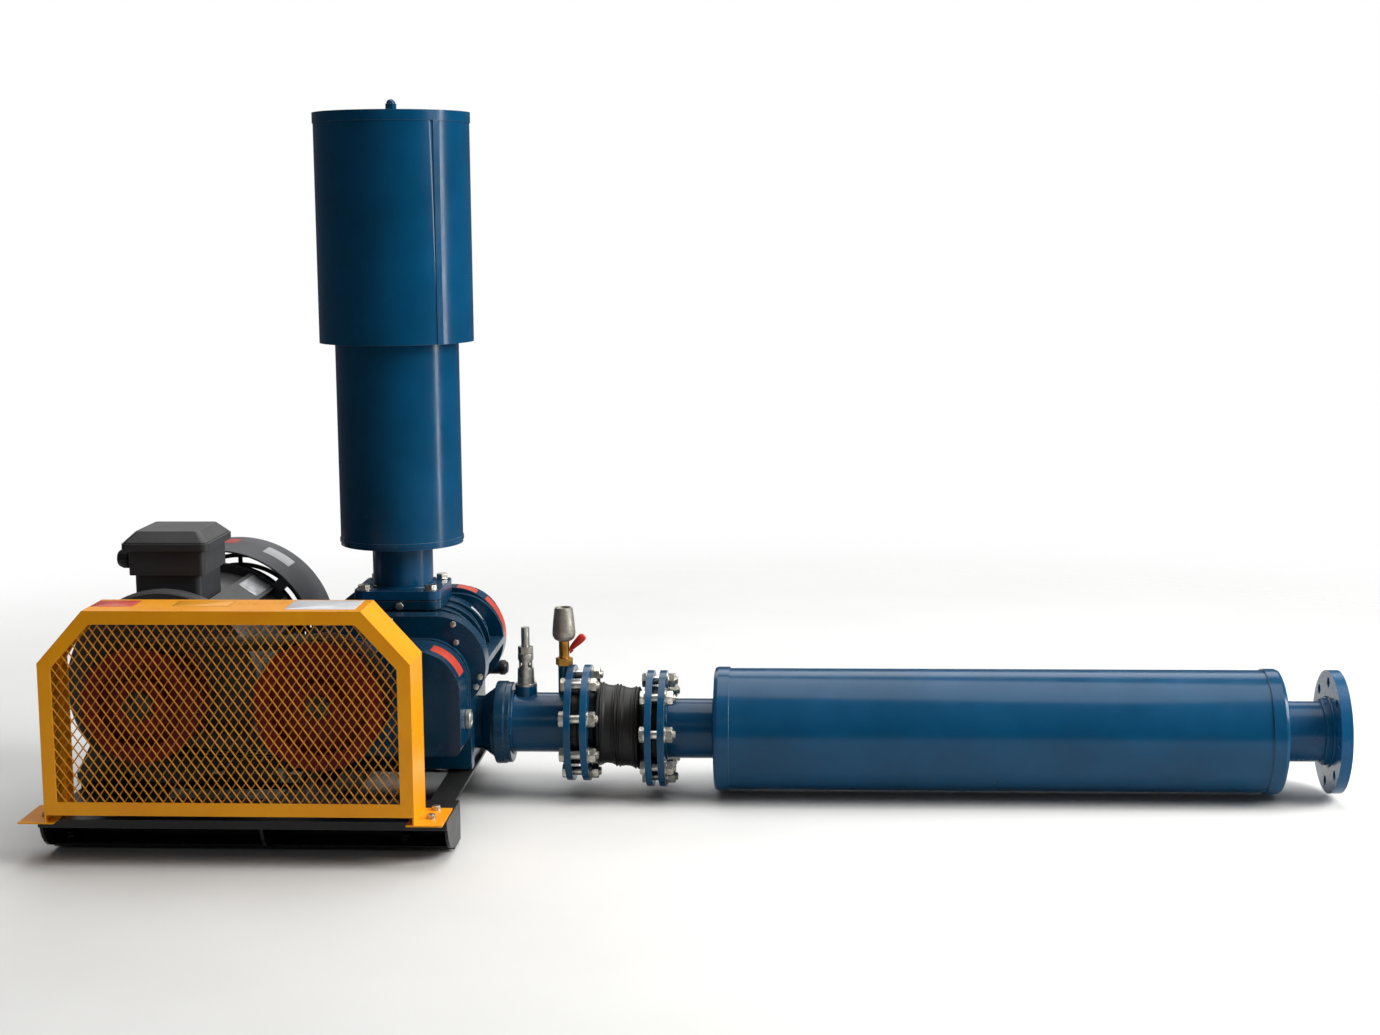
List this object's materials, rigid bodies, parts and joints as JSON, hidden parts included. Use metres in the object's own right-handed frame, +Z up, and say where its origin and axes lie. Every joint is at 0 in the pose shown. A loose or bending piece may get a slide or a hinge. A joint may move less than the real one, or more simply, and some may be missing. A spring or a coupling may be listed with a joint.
{
  "type": "roots blower",
  "caption": "Belt-driven three-lobe rotary blower set on a steel skid, with guarded motor drive, intake filter silencer, discharge valves, rubber joint and long discharge silencer.",
  "frame": {"origin": "on the floor under the middle of the skid's plan, halfway along its width and depth", "axes": "+X along the discharge line towards the outlet flange, +Y back from the belt guard along the shafts, +Z up"},
  "size_m": [2.2295, 0.708, 1.249],
  "materials": {
    "guard_yellow": "gloss yellow paint on sheet steel and mesh",
    "machine_blue": "gloss dark blue enamel on castings and pipe",
    "motor_grey": "satin dark grey paint on castings",
    "skid_black": "satin black paint on folded plate",
    "pulley_red": "dark red primer on grey iron",
    "bare_steel": "machined bare steel",
    "zinc": "zinc plated fasteners",
    "brass": "turned brass",
    "rubber_black": "matt black rubber",
    "stator_steel": "varnished laminations and windings",
    "filter_felt": "pleated felt filter",
    "lever_red": "red plastic sleeve on a steel lever"
  },
  "bodies": {
    "skid": {"skid_frame": "skid_black", "levelling_bolts": "skid_black", "motor_slide_rails": "skid_black", "guard_frame": "guard_yellow", "guard_mesh": "guard_yellow", "guard_screws": "zinc", "motor_frame": "motor_grey", "motor_drive_shield": "motor_grey", "motor_rear_shield": "motor_grey", "motor_cowl": "motor_grey", "motor_stator": "stator_steel", "motor_bearings": "bare_steel", "terminal_box": "motor_grey", "terminal_lid": "motor_grey", "cable_gland": "skid_black", "motor_foot_bolts": "zinc", "v_belts": "rubber_black", "rotor_casing": "machine_blue", "front_end_plate": "machine_blue", "rear_end_plate": "machine_blue", "front_oil_cover": "machine_blue", "rear_gear_case": "machine_blue", "blower_bearings": "bare_steel", "shaft_seals": "rubber_black", "casing_bolts": "zinc", "oil_sight_glasses": "bare_steel", "oil_plugs": "brass", "flange_gaskets": "rubber_black", "intake_drum": "machine_blue", "intake_hood": "machine_blue", "intake_lid": "machine_blue", "intake_filter": "filter_felt", "intake_tie_rod": "zinc", "intake_flange_bolts": "zinc", "outlet_spool": "machine_blue", "outlet_union": "machine_blue", "outlet_pipe": "machine_blue", "check_valve_ring": "bare_steel", "rubber_joint": "rubber_black", "joint_flanges": "machine_blue", "joint_bolts": "zinc", "silencer_shell": "machine_blue", "silencer_core": "bare_steel", "silencer_inlet": "machine_blue", "silencer_outlet": "machine_blue", "relief_valve_body": "bare_steel", "relief_valve_spring": "zinc", "vent_valve_body": "brass", "vent_silencer": "bare_steel"},
    "drive_spindle": {"drive_rotor": "bare_steel", "drive_gear": "bare_steel", "blower_pulley": "pulley_red"},
    "driven_spindle": {"driven_rotor": "bare_steel", "driven_gear": "bare_steel"},
    "motor_spindle": {"motor_rotor": "bare_steel", "motor_fan": "skid_black", "motor_pulley": "pulley_red"},
    "relief_disc": {"relief_valve_disc": "brass"},
    "vent_lever": {"vent_valve_lever": "lever_red"},
    "check_flap": {"check_valve_flap": "bare_steel"}
  },
  "joints": [
    {"name": "drive_spin", "type": "hinge", "parent": "skid", "child": "drive_spindle", "pos_m": [0.1345, 0, 0.264], "axis": [0, 1, 0], "continuous": true},
    {"name": "driven_spin", "type": "hinge", "parent": "skid", "child": "driven_spindle", "pos_m": [0.2465, 0, 0.264], "axis": [0, 1, 0], "continuous": true},
    {"name": "motor_spin", "type": "hinge", "parent": "skid", "child": "motor_spindle", "pos_m": [-0.158, 0, 0.264], "axis": [0, 1, 0], "continuous": true},
    {"name": "relief_lift", "type": "slide", "parent": "skid", "child": "relief_disc", "axis": [0, 0, 1], "range_m": [0, 0.005], "stiffness_N_per_m": 2000, "springref_m": -0.005, "deforming": ["relief_valve_spring"]},
    {"name": "vent_turn", "type": "hinge", "parent": "skid", "child": "vent_lever", "pos_m": [0.481, 0.1305, 0.265], "axis": [1, 0, 0], "range_deg": [0, 90]},
    {"name": "flap_swing", "type": "hinge", "parent": "skid", "child": "check_flap", "pos_m": [0.5066, 0.1305, 0.177], "axis": [0, -1, 0], "range_deg": [0, 40]}
  ],
  "couplings": [
    {"joint": "driven_spin", "follows": "drive_spin", "ratio": -1},
    {"joint": "motor_spin", "follows": "drive_spin", "ratio": 1.1158}
  ]
}
